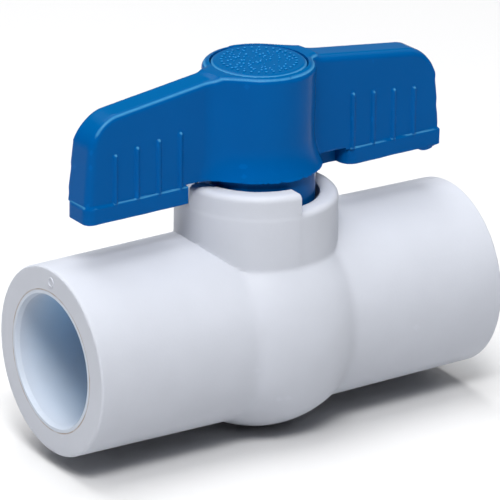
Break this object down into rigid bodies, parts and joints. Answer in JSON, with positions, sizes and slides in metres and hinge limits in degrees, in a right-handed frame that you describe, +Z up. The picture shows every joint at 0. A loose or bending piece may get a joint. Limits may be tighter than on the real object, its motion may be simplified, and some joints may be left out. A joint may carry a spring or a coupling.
{
  "type": "ball valve",
  "caption": "Compact quarter-turn ball valve with two slip sockets for plastic pipe, a round middle, a stopped neck and a two-wing handle.",
  "frame": {"origin": "centre of the ball, where the pipe's axis meets the stem's axis", "axes": "+X along the pipe towards the outlet, +Z up the stem to the handle; open, the handle lies along X"},
  "size_m": [0.0768, 0.0364, 0.0618],
  "materials": {
    "white_pvc": "satin",
    "sleeve_pvc": "satin",
    "ball_pvc": "polished",
    "stem_pvc": "satin",
    "seat_plastic": "matte",
    "seal_rubber": "matte",
    "handle_blue": "satin",
    "cap_blue": "satin",
    "screw_steel": "plain"
  },
  "bodies": {
    "housing": {"body": "white_pvc", "inlet_sleeve": "sleeve_pvc", "outlet_sleeve": "sleeve_pvc", "inlet_seat": "seat_plastic", "outlet_seat": "seat_plastic", "inlet_seat_seal": "seal_rubber", "outlet_seat_seal": "seal_rubber", "stem_thrust_washer": "seat_plastic"},
    "turning_handle": {"handle": "handle_blue", "handle_cap": "cap_blue", "handle_screw": "screw_steel", "stem": "stem_pvc", "stem_ring_lower": "seal_rubber", "stem_ring_upper": "seal_rubber"},
    "turning_ball": {"ball": "ball_pvc"}
  },
  "joints": [
    {"name": "handle_turn", "type": "hinge", "parent": "housing", "child": "turning_handle", "pos_m": [0, 0, 0], "axis": [0, 0, 1], "range_deg": [-90, 0]},
    {"name": "ball_turn", "type": "hinge", "parent": "housing", "child": "turning_ball", "pos_m": [0, 0, 0], "axis": [0, 0, 1], "range_deg": [-90, 0]}
  ],
  "couplings": [
    {"joint": "ball_turn", "follows": "handle_turn", "ratio": 1}
  ]
}
